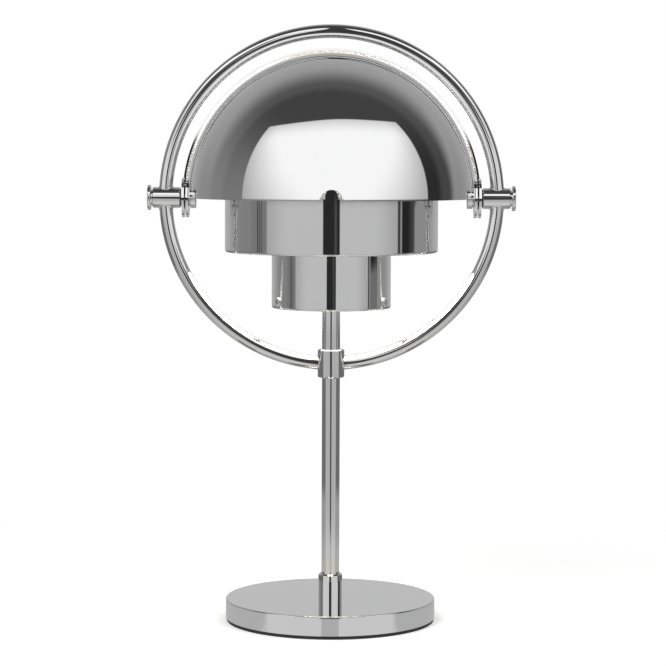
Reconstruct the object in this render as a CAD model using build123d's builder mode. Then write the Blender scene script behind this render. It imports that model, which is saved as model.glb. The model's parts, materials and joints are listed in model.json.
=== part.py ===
from build123d import *
import os
from math import cos, degrees, hypot, radians, sin, sqrt

# Portable table lamp: a weighted disc base, a stem, a ring with two pivots, two quarter-sphere
# shades that turn on the pivots, and two fixed cylinder shades round the lamp head.
# Millimetres. Origin on the table under the stem, +Z up, pivots along X, front towards -Y.

# Cylinder shades
wide_diameter = 101.8
wide_height = 51.4
narrow_diameter = 57.0
narrow_height = 105.0
cylinder_wall = 0.8
lip_radius = 1.1
lip_depth = 2.6

# Turning shades
shade_wall = 1.2
shade_clearance = 8.3
shade_gap = 0.8
ear_radius = 9.4
stem_clearance = 0.8

# Ring
ring_tube = 6.5
ring_wall = 1.0
ring_clearance = 4.7
braze_reach = 1.6
braze_rounding = 1.1

# Pivots
pivot_diameter = 4.0
pivot_play = 0.05
barrel_diameter = 9.9
barrel_overhang = 6.2
barrel_chamfer = 0.4
barrel_washer_diameter = 8.6
barrel_washer_thickness = 0.8
pivot_head_diameter = 12.0
pivot_head_thickness = 1.6
pivot_head_rounding = 0.5
pivot_neck_diameter = 7.4
pivot_neck_length = 0.8
friction_washer_diameter = 11.0
spring_washer_diameter = 8.4
spring_washer_thickness = 0.6
pivot_nut_diameter = 10.0
pivot_nut_thickness = 2.6
pivot_nut_chamfer = 0.3

# Stem
stem_diameter = 8.6
stem_wall = 1.8
stem_height = 106.65
spigot_step = 0.8
fit = 0.05
ferrule_wall = 1.4
ferrule_height = 11.7
ferrule_chamfer = 0.7
collar_wall = 2.0
collar_height = 13.5
collar_chamfer = 0.4
socket_depth = 5.0
stem_nut_width = 11.0
stem_nut_thickness = 2.0
stem_washer_diameter = 12.0
stem_washer_thickness = 0.8

# Base
base_diameter = 100.8
base_height = 9.2
base_wall = 3.0
base_top_thickness = 2.0
base_rounding = 0.6
foot_height = 1.6
foot_width = 6.0
foot_inset = 0.5
cover_thickness = 1.4
cover_play = 0.2
sheet_thickness = 0.3
boss_diameter = 6.5
boss_inset = 3.5
boss_angle = 30.0
cover_screw_diameter = 3.0
cover_screw_head = 5.4
cover_screw_sink = 1.1
cover_screw_socket = 2.0
cover_screw_grip = 3.6

# Pieces inside the base
pocket_play = 0.4
ballast_rim = 3.0
battery_rim = 9.0
stem_pocket = 20.0
battery_play = 0.3
battery_rounding = 1.5
board_width = 36.0
board_depth = 20.0
board_thickness = 1.0
port_width = 8.94
port_height = 3.26
port_depth = 7.4
port_shell = 0.35
port_recess = 0.3
port_play = 0.2
tongue_width = 6.6
tongue_thickness = 0.7
tongue_setback = 0.8
port_back = 1.0
button_offset = 14.0
button_width = 7.0
button_height = 2.4
button_play = 0.2
button_flange = 0.45
button_flange_thickness = 0.9
button_proud = 0.5
button_travel = 0.6
switch_width = 6.0
switch_depth = 3.6
switch_height = 3.4
actuator_width = 2.6
actuator_height = 1.6
actuator_length = 0.6
connector_width = 6.0
connector_depth = 5.0
connector_height = 2.4
lead_diameter = 1.8
lead_bend = 3.0
battery_lead_diameter = 1.4
battery_lead_pitch = 3.0
battery_lead_offset = 10.5

# Lamp head
strut_raise = 4.0
sink_thickness = 10.0
sink_hole_play = 0.2
light_board_margin = 2.0
light_board_thickness = 1.6
light_board_gap = 1.0
chip_count = 8
chip_width = 2.8
chip_length = 3.5
chip_thickness = 0.7
chip_circle = 40.0
link_diameter = 4.6
head_connector_size = 5.0
head_connector_height = 4.0
head_connector_offset = 12.0
lead_loop_radius = 5.8
lead_loop_rise = 8.0
strut_count = 3
strut_start = 90.0
strut_diameter = 5.0
strut_spigot_diameter = 3.0
strut_spigot_length = 9.0
strut_screw_diameter = 2.5
strut_screw_grip = 5.0
strut_screw_head = 5.0
strut_screw_head_thickness = 1.6
strut_screw_rounding = 1.2
strut_screw_socket = 2.0

# Diffusers
diffuser_thickness = 2.0
diffuser_play = 0.25
diffuser_stem_play = 0.4
diffuser_setback = 7.5
clip_width = 6.0
clip_height = 5.8
clip_thickness = 1.2
clip_reach = 5.5
clip_screw_drop = 3.8
clip_screw_diameter = 1.6
clip_screw_head = 4.2
clip_screw_head_thickness = 1.3
clip_screw_rounding = 1.0
clip_screw_socket = 1.5

# Radii worked out from the inside outwards: cylinders, front shade, rear shade, ring
wide_radius = wide_diameter / 2
narrow_radius = narrow_diameter / 2
narrow_inner = narrow_radius - cylinder_wall
wide_inner = wide_radius - cylinder_wall
wide_corner = hypot(wide_radius, wide_height / 2)
narrow_corner = hypot(narrow_radius, narrow_height / 2)
front_radius = max(wide_corner, narrow_corner) + shade_clearance + shade_wall
rear_radius = front_radius + shade_gap + shade_wall
ring_radius = rear_radius + ring_clearance + ring_tube / 2
front_inner = front_radius - shade_wall
rear_inner = rear_radius - shade_wall
stem_radius = stem_diameter / 2
stem_bore = stem_diameter - 2 * stem_wall
spigot_diameter = stem_diameter - 2 * spigot_step
collar_radius = stem_radius + fit + collar_wall
notch_radius = stem_radius + stem_clearance

# Heights above the table
cover_top = foot_height + cover_thickness
sheet_top = cover_top + sheet_thickness
base_top = foot_height + base_height
cavity_top = base_top - base_top_thickness
stem_nut_bottom = cavity_top - stem_washer_thickness - stem_nut_thickness
collar_bottom = base_top + stem_height
collar_top = collar_bottom + collar_height
ring_seat_height = collar_bottom + collar_height / 2
head_height = ring_seat_height + ring_radius
strut_height = head_height + strut_raise
sink_bottom = strut_height - sink_thickness / 2
sink_top = strut_height + sink_thickness / 2
head_nut_top = sink_top + stem_washer_thickness + stem_nut_thickness
upper_board_top = sink_top + light_board_thickness
lower_board_bottom = sink_bottom - light_board_thickness
lower_rest = head_height - narrow_height / 2 + diffuser_setback
upper_rest = head_height + narrow_height / 2 - diffuser_setback - diffuser_thickness

# Distances from the middle along the pivot axis
barrel_inner = rear_radius + 2 * pivot_play + barrel_washer_thickness
barrel_outer = ring_radius + barrel_overhang
pivot_head_inner = barrel_outer + pivot_neck_length
friction_inner = front_radius + pivot_play
friction_outer = sqrt(rear_inner**2 - (friction_washer_diameter / 2) ** 2) - pivot_play
spring_outer = sqrt(front_inner**2 - (spring_washer_diameter / 2) ** 2) - pivot_play
pivot_nut_outer = spring_outer - spring_washer_thickness
pivot_nut_inner = pivot_nut_outer - pivot_nut_thickness

# Angles round the ring, from the right-hand pivot upwards, where its arcs end
barrel_seat_angle = degrees((barrel_diameter / 2 + braze_reach) / ring_radius)
collar_seat_angle = degrees((collar_radius + braze_reach) / ring_radius)
ring_axis = Axis((0, 0, head_height), (0, -1, 0))

# Places inside the base
base_radius = base_diameter / 2
cavity_radius = base_radius - base_wall
boss_circle = cavity_radius - boss_inset - boss_diameter / 2
boss_x = boss_circle * cos(radians(boss_angle))
boss_y = boss_circle * sin(radians(boss_angle))
battery_front = -(cavity_radius - battery_rim)
battery_rear = -stem_pocket / 2
battery_half = sqrt((cavity_radius - ballast_rim - pocket_play) ** 2 - battery_front**2)
board_radius = cavity_radius - pocket_play
board_front = sqrt(board_radius**2 - (board_width / 2) ** 2) - board_depth
board_top = sheet_top + board_thickness
port_height_mid = board_top + port_height / 2
port_front = base_radius - port_recess
button_height_mid = board_top + switch_height / 2
flange_width = button_width + 2 * button_flange
flange_height = button_height + 2 * button_flange
flange_far = button_offset + flange_width / 2
flange_front = sqrt(cavity_radius**2 - flange_far**2) - button_play
actuator_front = flange_front - button_flange_thickness - button_travel - button_play
switch_front = actuator_front - actuator_length
lead_height = (sheet_top + stem_nut_bottom) / 2
connector_front = board_front - connector_depth

os.makedirs("parts", exist_ok=True)


def keep(piece, name):
    """Name a finished piece and write it to its own file."""
    piece.part.label = name
    export_step(piece.part, f"parts/{name}.step")


def pivot_plane(distance):
    """Plane square to the pivot axis at a distance along X, with its normal along +X."""
    return Plane(origin=(distance, 0, head_height), x_dir=(0, 1, 0), z_dir=(1, 0, 0))


def ring_plane(angle):
    """Plane that cuts the ring tube square, at an angle up from the right-hand pivot."""
    outwards = Vector(cos(radians(angle)), 0, sin(radians(angle)))
    along = Vector(-sin(radians(angle)), 0, cos(radians(angle)))
    return Plane(origin=Vector(0, 0, head_height) + outwards * ring_radius, x_dir=outwards, z_dir=along)


def ring_section(angle, bore):
    """Section of the ring tube at an angle, solid where the bore is zero."""
    with BuildSketch(ring_plane(angle)) as section:
        Circle(ring_tube / 2)
        if bore:
            Circle(bore / 2, mode=Mode.SUBTRACT)
    return section.sketch


def radial_plane(angle, distance, height):
    """Plane that faces outwards at an angle round the stem, its local y axis upwards."""
    outwards = Vector(cos(radians(angle)), sin(radians(angle)), 0)
    sideways = Vector(-sin(radians(angle)), cos(radians(angle)), 0)
    return Plane(origin=outwards * distance + Vector(0, 0, height), x_dir=sideways, z_dir=outwards)


def rear_plane(distance):
    """Plane square to Y at a distance behind the stem, with its normal towards the front."""
    return Plane(origin=(0, distance, 0), x_dir=(1, 0, 0), z_dir=(0, -1, 0))


def brazed_edges(piece):
    """Edges where the ring's stubs meet the round piece that carries them."""
    return piece.edges().filter_by(GeomType.BSPLINE)


def screw_places():
    """The four places of the screws that hold the bottom cover."""
    return GridLocations(2 * boss_x, 2 * boss_y, 2, 2)


def strut_angles():
    """The angles of the struts, which the diffuser clips share."""
    return [strut_start + number * 360 / strut_count for number in range(strut_count)]


# Base shell: a cup turned upside down, with screw bosses and two openings in its rear wall
with BuildPart() as base_shell:
    with BuildSketch(Plane.XY.offset(foot_height)):
        Circle(base_radius)
    extrude(amount=base_height)
    fillet(base_shell.edges().group_by(Axis.Z)[-1], min(base_rounding, base_top_thickness / 2))
    with BuildSketch(Plane.XY.offset(foot_height)):
        Circle(cavity_radius)
    extrude(amount=base_height - base_top_thickness, mode=Mode.SUBTRACT)
    with BuildSketch(Plane.XY.offset(cover_top)):
        with screw_places():
            Circle(boss_diameter / 2)
            Circle(cover_screw_diameter / 2 + fit, mode=Mode.SUBTRACT)
    extrude(amount=cavity_top - cover_top)
    with BuildSketch(Plane.XY.offset(cavity_top)):
        Circle(spigot_diameter / 2 + fit)
    extrude(amount=base_top_thickness, mode=Mode.SUBTRACT)
    with BuildSketch(rear_plane(base_radius)):
        with Locations((0, port_height_mid)):
            SlotOverall(port_width + 2 * port_play, port_height + 2 * port_play)
    extrude(amount=2 * base_wall, mode=Mode.SUBTRACT)
    with BuildSketch(rear_plane(base_radius)):
        with Locations((button_offset, button_height_mid)):
            SlotOverall(button_width + 2 * button_play, button_height + 2 * button_play)
    extrude(amount=base_radius - flange_front, mode=Mode.SUBTRACT)
keep(base_shell, "base_shell")

# Foot ring under the base's edge
with BuildPart() as foot_ring:
    with BuildSketch():
        Circle(base_radius - foot_inset)
        Circle(base_radius - foot_inset - foot_width, mode=Mode.SUBTRACT)
    extrude(amount=foot_height)
keep(foot_ring, "foot_ring")

# Bottom cover with countersunk holes
with BuildPart() as bottom_cover:
    with BuildSketch(Plane.XY.offset(foot_height)):
        Circle(cavity_radius - cover_play)
        with screw_places():
            Circle(cover_screw_diameter / 2 + fit, mode=Mode.SUBTRACT)
    extrude(amount=cover_thickness)
    with Locations((0, 0, foot_height)):
        with screw_places():
            Cone(
                cover_screw_head / 2 + fit,
                cover_screw_diameter / 2 + fit,
                cover_screw_sink,
                align=(Align.CENTER, Align.CENTER, Align.MIN),
                mode=Mode.SUBTRACT,
            )
keep(bottom_cover, "bottom_cover")

# Screws of the bottom cover
screw_top = cover_top + cover_screw_grip
with BuildPart() as cover_screws:
    with Locations((0, 0, foot_height)):
        with screw_places():
            Cone(
                cover_screw_head / 2,
                cover_screw_diameter / 2,
                cover_screw_sink,
                align=(Align.CENTER, Align.CENTER, Align.MIN),
            )
            Cylinder(
                cover_screw_diameter / 2,
                screw_top - foot_height,
                align=(Align.CENTER, Align.CENTER, Align.MIN),
            )
    with BuildSketch(Plane.XY.offset(foot_height)):
        with screw_places():
            RegularPolygon(cover_screw_socket / 2, 6, major_radius=False)
    extrude(amount=cover_screw_sink, mode=Mode.SUBTRACT)
keep(cover_screws, "cover_screws")

# Insulating sheet on the cover, under the battery and the boards
with BuildPart() as insulating_sheet:
    with BuildSketch(Plane.XY.offset(cover_top)):
        Circle(cavity_radius - pocket_play)
        with screw_places():
            Circle(boss_diameter / 2 + pocket_play, mode=Mode.SUBTRACT)
    extrude(amount=sheet_thickness)
keep(insulating_sheet, "insulating_sheet")

# Ballast plate: fills the cavity round the battery, the stem nut and the board
with BuildPart() as ballast_plate:
    with BuildSketch(Plane.XY.offset(sheet_top)):
        Circle(cavity_radius - pocket_play)
        with Locations((0, (battery_front + battery_rear) / 2)):
            Rectangle(
                2 * (battery_half + pocket_play),
                battery_rear - battery_front + 2 * pocket_play,
                mode=Mode.SUBTRACT,
            )
        with Locations((0, battery_rear)):
            Rectangle(
                board_width + 2 * pocket_play,
                base_radius - battery_rear,
                align=(Align.CENTER, Align.MIN),
                mode=Mode.SUBTRACT,
            )
        with screw_places():
            Circle(boss_diameter / 2 + pocket_play, mode=Mode.SUBTRACT)
    extrude(amount=cavity_top - sheet_top)
keep(ballast_plate, "ballast_plate")

# Battery pack in front of the stem
with BuildPart() as battery_pack:
    with BuildSketch(Plane.XY.offset(sheet_top)):
        with Locations((0, (battery_front + battery_rear) / 2)):
            RectangleRounded(2 * battery_half, battery_rear - battery_front, battery_rounding)
    extrude(amount=cavity_top - sheet_top - battery_play)
keep(battery_pack, "battery_pack")

# Two leads from the battery to the control board
with BuildPart() as battery_leads:
    with BuildSketch(rear_plane(battery_rear)):
        with Locations((battery_lead_offset, lead_height)):
            with GridLocations(battery_lead_pitch, 0, 2, 1):
                Circle(battery_lead_diameter / 2)
    extrude(amount=battery_rear - board_front)
keep(battery_leads, "battery_leads")

# Control board: its rear edge follows the base's wall
with BuildPart() as control_board:
    with BuildSketch(Plane.XY.offset(sheet_top)):
        Circle(board_radius)
        with Locations((0, board_front)):
            Rectangle(
                board_width,
                base_radius,
                align=(Align.CENTER, Align.MIN),
                mode=Mode.INTERSECT,
            )
    extrude(amount=board_thickness)
keep(control_board, "control_board")

# Charging port: a rounded metal shell with a tongue inside
with BuildPart() as charging_port:
    with BuildSketch(rear_plane(port_front)):
        with Locations((0, port_height_mid)):
            SlotOverall(port_width, port_height)
    extrude(amount=port_depth)
    with BuildSketch(rear_plane(port_front)):
        with Locations((0, port_height_mid)):
            SlotOverall(port_width - 2 * port_shell, port_height - 2 * port_shell)
    extrude(amount=port_depth - port_back, mode=Mode.SUBTRACT)
    with BuildSketch(rear_plane(port_front - tongue_setback)):
        with Locations((0, port_height_mid)):
            Rectangle(tongue_width, tongue_thickness)
    extrude(amount=port_depth - port_back - tongue_setback)
keep(charging_port, "charging_port")

# Push switch on the board, behind the button
with BuildPart() as push_switch:
    with BuildSketch(rear_plane(switch_front)):
        with Locations((button_offset, button_height_mid)):
            Rectangle(switch_width, switch_height)
    extrude(amount=switch_depth)
    with BuildSketch(rear_plane(actuator_front)):
        with Locations((button_offset, button_height_mid)):
            Rectangle(actuator_width, actuator_height)
    extrude(amount=actuator_length)
keep(push_switch, "push_switch")

# Power button: a long rounded key with a flange inside the wall, its face curved like the base
with BuildPart() as power_button:
    with BuildSketch(rear_plane(base_radius + button_proud)):
        with Locations((button_offset, button_height_mid)):
            SlotOverall(button_width, button_height)
    extrude(amount=base_radius + button_proud - flange_front)
    with BuildSketch(rear_plane(flange_front)):
        with Locations((button_offset, button_height_mid)):
            SlotOverall(flange_width, flange_height)
    extrude(amount=button_flange_thickness)
    Cylinder(base_radius + button_proud, 2 * base_top, mode=Mode.INTERSECT)
keep(power_button, "power_button")

# Connector at the board's front edge, where the head's lead ends
with BuildPart() as board_connector:
    with BuildSketch(rear_plane(board_front)):
        with Locations((0, sheet_top)):
            Rectangle(connector_width, connector_height, align=(Align.CENTER, Align.MIN))
    extrude(amount=connector_depth)
keep(board_connector, "board_connector")

# Lower stem: a tube that stands on the base, with a spigot through the base's top plate
with BuildPart() as lower_stem:
    with BuildSketch(Plane.XY.offset(base_top)):
        Circle(stem_radius)
    extrude(amount=stem_height + socket_depth)
    with BuildSketch(Plane.XY.offset(stem_nut_bottom)):
        Circle(spigot_diameter / 2)
    extrude(amount=base_top - stem_nut_bottom)
    with BuildSketch(Plane.XY.offset(stem_nut_bottom)):
        Circle(stem_bore / 2)
    extrude(amount=collar_top - stem_nut_bottom, mode=Mode.SUBTRACT)
keep(lower_stem, "lower_stem")

# Upper stem: from the collar to the heat sink, with a spigot through the sink
with BuildPart() as upper_stem:
    with BuildSketch(Plane.XY.offset(collar_top - socket_depth)):
        Circle(stem_radius)
    extrude(amount=sink_bottom - collar_top + socket_depth)
    with BuildSketch(Plane.XY.offset(sink_bottom)):
        Circle(spigot_diameter / 2)
    extrude(amount=head_nut_top - sink_bottom)
    with BuildSketch(Plane.XY.offset(collar_bottom)):
        Circle(stem_bore / 2)
    extrude(amount=head_nut_top - collar_bottom, mode=Mode.SUBTRACT)
keep(upper_stem, "upper_stem")


def stem_washer(name, height):
    """Flat washer on a stem spigot, from a height upwards."""
    with BuildPart() as washer:
        with BuildSketch(Plane.XY.offset(height)):
            Circle(stem_washer_diameter / 2)
            Circle(spigot_diameter / 2 + fit, mode=Mode.SUBTRACT)
        extrude(amount=stem_washer_thickness)
    keep(washer, name)


def stem_nut(name, height):
    """Hexagon nut on a stem spigot, from a height upwards."""
    with BuildPart() as nut:
        with BuildSketch(Plane.XY.offset(height)):
            RegularPolygon(stem_nut_width / 2, 6, major_radius=False)
            Circle(spigot_diameter / 2 + fit, mode=Mode.SUBTRACT)
        extrude(amount=stem_nut_thickness)
    keep(nut, name)


stem_washer("base_washer", cavity_top - stem_washer_thickness)
stem_nut("base_nut", stem_nut_bottom)
stem_washer("head_washer", sink_top)
stem_nut("head_nut", sink_top + stem_washer_thickness)

# Ferrule round the foot of the stem
with BuildPart() as stem_ferrule:
    with BuildSketch(Plane.XY.offset(base_top)):
        Circle(stem_radius + fit + ferrule_wall)
    extrude(amount=ferrule_height)
    chamfer(stem_ferrule.edges().group_by(Axis.Z)[-1], min(ferrule_chamfer, ferrule_wall / 2))
    with BuildSketch(Plane.XY.offset(base_top)):
        Circle(stem_radius + fit)
    extrude(amount=ferrule_height, mode=Mode.SUBTRACT)
keep(stem_ferrule, "stem_ferrule")

# Collar: joins the two stems and carries the ring on a brazed stub at each side
with BuildPart() as ring_collar:
    with BuildSketch(Plane.XY.offset(collar_bottom)):
        Circle(collar_radius)
    extrude(amount=collar_height)
    chamfer(ring_collar.edges().filter_by(GeomType.CIRCLE), min(collar_chamfer, collar_wall / 2))
    stub = ring_section(270 - collar_seat_angle, 0)
    revolve(stub, axis=ring_axis, revolution_arc=2 * collar_seat_angle)
    fillet(brazed_edges(ring_collar), min(braze_rounding, braze_reach / 2))
    with BuildSketch(Plane.XY.offset(collar_bottom)):
        Circle(stem_bore / 2)
    extrude(amount=collar_height, mode=Mode.SUBTRACT)
    with BuildSketch(Plane.XY.offset(collar_bottom), Plane.XY.offset(collar_top - socket_depth)):
        Circle(stem_radius + fit)
    extrude(amount=socket_depth, mode=Mode.SUBTRACT)
keep(ring_collar, "ring_collar")


def ring_arc(name, start, end):
    """Bent tube of the ring between two angles, butted to the stubs that carry it."""
    with BuildPart() as arc:
        revolve(
            ring_section(start, ring_tube - 2 * ring_wall),
            axis=ring_axis,
            revolution_arc=end - start,
        )
    keep(arc, name)


ring_arc("ring_upper_arc", barrel_seat_angle, 180 - barrel_seat_angle)
ring_arc("ring_left_arc", 180 + barrel_seat_angle, 270 - collar_seat_angle)
ring_arc("ring_right_arc", 270 + collar_seat_angle, 360 - barrel_seat_angle)


def pivot_barrel(name, side, angle):
    """Short tube along the pivot axis with a brazed stub of the ring above and below."""
    with BuildPart() as barrel:
        with BuildSketch(pivot_plane(side * barrel_inner)):
            Circle(barrel_diameter / 2)
        extrude(amount=side * (barrel_outer - barrel_inner))
        chamfer(barrel.edges().filter_by(GeomType.CIRCLE), barrel_chamfer)
        stub = ring_section(angle - barrel_seat_angle, 0)
        revolve(stub, axis=ring_axis, revolution_arc=2 * barrel_seat_angle)
        fillet(brazed_edges(barrel), min(braze_rounding, braze_reach / 2))
        with BuildSketch(pivot_plane(side * barrel_inner)):
            Circle(pivot_diameter / 2 + pivot_play)
        extrude(amount=side * (barrel_outer - barrel_inner), mode=Mode.SUBTRACT)
    keep(barrel, name)


def pivot_screw(name, side):
    """Pivot screw: disc head outside the barrel, neck, and a shank to the nut inside the shades."""
    with BuildPart() as screw:
        with BuildSketch(pivot_plane(side * pivot_head_inner)):
            Circle(pivot_head_diameter / 2)
        extrude(amount=side * pivot_head_thickness)
        head_edges = screw.edges().filter_by(GeomType.CIRCLE)
        fillet(head_edges, min(pivot_head_rounding, pivot_head_thickness / 3))
        with BuildSketch(pivot_plane(side * barrel_outer)):
            Circle(pivot_neck_diameter / 2)
        extrude(amount=side * pivot_neck_length)
        with BuildSketch(pivot_plane(side * pivot_nut_inner)):
            Circle(pivot_diameter / 2)
        extrude(amount=side * (barrel_outer - pivot_nut_inner))
    keep(screw, name)


for side_name, side, side_angle in (("left", -1, 180), ("right", 1, 0)):
    pivot_barrel(f"{side_name}_pivot_barrel", side, side_angle)
    pivot_screw(f"{side_name}_pivot_screw", side)


def pivot_washers(name, inner, outer, diameter):
    """A pair of washers on the pivot screws, one at each side, between two distances."""
    with BuildPart() as washers:
        for side in (-1, 1):
            with BuildSketch(pivot_plane(side * inner)):
                Circle(diameter / 2)
                Circle(pivot_diameter / 2 + pivot_play, mode=Mode.SUBTRACT)
            extrude(amount=side * (outer - inner))
    keep(washers, name)


pivot_washers("barrel_washers", rear_radius + pivot_play, barrel_inner - pivot_play, barrel_washer_diameter)
pivot_washers("friction_washers", friction_inner, friction_outer, friction_washer_diameter)
pivot_washers("spring_washers", pivot_nut_outer, spring_outer, spring_washer_diameter)

# Round nuts at the inner ends of the pivot screws
with BuildPart() as pivot_nuts:
    for side in (-1, 1):
        with BuildSketch(pivot_plane(side * pivot_nut_inner)):
            Circle(pivot_nut_diameter / 2)
        extrude(amount=side * pivot_nut_thickness)
    chamfer(pivot_nuts.edges().filter_by(GeomType.CIRCLE), min(pivot_nut_chamfer, pivot_nut_thickness / 4))
    with BuildSketch(pivot_plane(0)):
        Circle(pivot_diameter / 2 + fit)
    extrude(amount=pivot_nut_outer, both=True, mode=Mode.SUBTRACT)
keep(pivot_nuts, "pivot_nuts")


def turning_shade(name, radius, facing):
    """Quarter-sphere shell with a round flat ear at each pivot and a notch for the stem.

    facing is -1 for the shade that stands at the front and 1 for the one at the rear.
    """
    inner_radius = radius - shade_wall
    with BuildPart() as shade:
        with BuildSketch(Plane.XY.offset(head_height)):
            with BuildLine():
                ThreePointArc((radius, 0), (0, facing * radius), (-radius, 0))
                Line((-radius, 0), (-inner_radius, 0))
                ThreePointArc((-inner_radius, 0), (0, facing * inner_radius), (inner_radius, 0))
                Line((inner_radius, 0), (radius, 0))
            make_face()
        revolve(axis=Axis((0, 0, head_height), (facing, 0, 0)), revolution_arc=90)
        for side in (-1, 1):
            with BuildSketch(pivot_plane(side * inner_radius)):
                Circle(ear_radius)
            extrude(amount=side * shade_wall)
        with BuildSketch(pivot_plane(0)):
            Circle(pivot_diameter / 2 + pivot_play)
        extrude(amount=radius, both=True, mode=Mode.SUBTRACT)
        with BuildSketch(rear_plane(facing * radius)):
            with Locations((0, head_height)):
                Circle(notch_radius)
        extrude(amount=facing * shade_clearance, mode=Mode.SUBTRACT)
    keep(shade, name)


turning_shade("front_shade", front_radius, -1)
turning_shade("rear_shade", rear_radius, 1)


def cylinder_shade(name, diameter, height, holes):
    """Spun cylinder with both edges turned inwards.

    holes lists the radial holes as angle, height above the table and diameter.
    """
    radius = diameter / 2
    half = height / 2
    lip_inner = radius - lip_depth
    wall_inner = radius - cylinder_wall
    with BuildPart() as cylinder:
        with BuildSketch(Plane(origin=(0, 0, head_height), x_dir=(1, 0, 0), z_dir=(0, -1, 0))):
            with BuildLine():
                FilletPolyline(
                    (lip_inner, -half),
                    (radius, -half),
                    (radius, half),
                    (lip_inner, half),
                    radius=lip_radius,
                )
                Line((lip_inner, half), (lip_inner, half - cylinder_wall))
                FilletPolyline(
                    (lip_inner, half - cylinder_wall),
                    (wall_inner, half - cylinder_wall),
                    (wall_inner, cylinder_wall - half),
                    (lip_inner, cylinder_wall - half),
                    radius=lip_radius - cylinder_wall,
                )
                Line((lip_inner, cylinder_wall - half), (lip_inner, -half))
            make_face()
        revolve(axis=Axis.Z)
        for hole_angle, hole_height, hole_diameter in holes:
            with BuildSketch(radial_plane(hole_angle, lip_inner, hole_height)):
                Circle(hole_diameter / 2 + fit)
            extrude(amount=2 * lip_depth, mode=Mode.SUBTRACT)
    keep(cylinder, name)


clip_screw_heights = (lower_rest - clip_screw_drop, upper_rest - clip_screw_drop)
strut_holes = [(angle, strut_height, strut_spigot_diameter) for angle in strut_angles()]
screw_holes = [(angle, strut_height, strut_screw_diameter) for angle in strut_angles()]
clip_holes = [
    (angle, height, clip_screw_diameter) for height in clip_screw_heights for angle in strut_angles()
]
cylinder_shade("wide_shade", wide_diameter, wide_height, screw_holes)
cylinder_shade("narrow_shade", narrow_diameter, narrow_height, strut_holes + clip_holes)

# Heat sink: a disc on the stem's top that fills the narrow shade and takes the struts
with BuildPart() as heat_sink:
    with BuildSketch(Plane.XY.offset(sink_bottom)):
        Circle(narrow_inner - fit)
        Circle(spigot_diameter / 2 + fit, mode=Mode.SUBTRACT)
        with Locations((-head_connector_offset, 0)):
            Circle(link_diameter / 2 + sink_hole_play, mode=Mode.SUBTRACT)
    extrude(amount=sink_thickness)
    for angle in strut_angles():
        with BuildSketch(radial_plane(angle, narrow_inner, strut_height)):
            Circle(strut_spigot_diameter / 2 + fit)
        extrude(amount=-strut_spigot_length, mode=Mode.SUBTRACT)
keep(heat_sink, "heat_sink")

# Struts from the heat sink to the wide shade, each with a spigot through the narrow shade
strut_end = sqrt((wide_inner - fit) ** 2 - (strut_diameter / 2) ** 2)
with BuildPart() as shade_struts:
    for angle in strut_angles():
        with BuildSketch(radial_plane(angle, narrow_radius, strut_height)):
            Circle(strut_diameter / 2)
        extrude(amount=strut_end - narrow_radius)
        with BuildSketch(radial_plane(angle, narrow_radius, strut_height)):
            Circle(strut_spigot_diameter / 2)
        extrude(amount=-cylinder_wall - strut_spigot_length)
        with BuildSketch(radial_plane(angle, wide_inner, strut_height)):
            Circle(strut_screw_diameter / 2 + fit)
        extrude(amount=-strut_screw_grip, mode=Mode.SUBTRACT)
keep(shade_struts, "shade_struts")


def radial_screws(name, places, radius, shank, head, socket_width):
    """Screws driven inwards through a cylinder wall, with domed socket heads outside.

    places lists their angles and heights, shank is the diameter and the length, and head is the
    diameter, the thickness and the rounding of the outer edge.
    """
    shank_diameter, shank_length = shank
    head_diameter, head_thickness, head_rounding = head
    head_top = radius + head_thickness
    with BuildPart() as screws:
        for screw_angle, screw_height in places:
            with BuildSketch(radial_plane(screw_angle, radius, screw_height)):
                Circle(head_diameter / 2)
            extrude(amount=head_thickness)
        rims = screws.edges().filter_by(GeomType.CIRCLE)
        outer_rims = rims.filter_by(lambda rim: hypot(rim.arc_center.X, rim.arc_center.Y) > radius + fit)
        fillet(outer_rims, min(head_rounding, 0.8 * head_thickness))
        for screw_angle, screw_height in places:
            with BuildSketch(radial_plane(screw_angle, head_top, screw_height)):
                RegularPolygon(socket_width / 2, 6, major_radius=False)
            extrude(amount=-head_thickness / 2, mode=Mode.SUBTRACT)
            with BuildSketch(radial_plane(screw_angle, radius, screw_height)):
                Circle(shank_diameter / 2)
            extrude(amount=-shank_length)
    keep(screws, name)


radial_screws(
    "strut_screws",
    [(angle, strut_height) for angle in strut_angles()],
    wide_radius,
    (strut_screw_diameter, cylinder_wall + strut_screw_grip),
    (strut_screw_head, strut_screw_head_thickness, strut_screw_rounding),
    strut_screw_socket,
)
radial_screws(
    "clip_screws",
    [(angle, height) for height in clip_screw_heights for angle in strut_angles()],
    narrow_radius,
    (clip_screw_diameter, cylinder_wall + clip_thickness),
    (clip_screw_head, clip_screw_head_thickness, clip_screw_rounding),
    clip_screw_socket,
)


def light_board(name, height, hole_diameter):
    """Ring-shaped circuit board for the light chips."""
    with BuildPart() as board:
        with BuildSketch(Plane.XY.offset(height)):
            Circle(narrow_inner - light_board_margin)
            Circle(hole_diameter / 2, mode=Mode.SUBTRACT)
        extrude(amount=light_board_thickness)
    keep(board, name)


def light_chips(name, height):
    """Ring of light chips on a board."""
    with BuildPart() as chips:
        with Locations((0, 0, height)):
            with PolarLocations(chip_circle / 2, chip_count, start_angle=180 / chip_count):
                Box(
                    chip_length,
                    chip_width,
                    chip_thickness,
                    align=(Align.CENTER, Align.CENTER, Align.MIN),
                )
    keep(chips, name)


light_board("upper_light_board", sink_top, stem_washer_diameter + 2 * light_board_gap)
light_board("lower_light_board", lower_board_bottom, stem_diameter + 2 * light_board_gap)
light_chips("upper_light_chips", upper_board_top)
light_chips("lower_light_chips", lower_board_bottom - chip_thickness)

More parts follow.
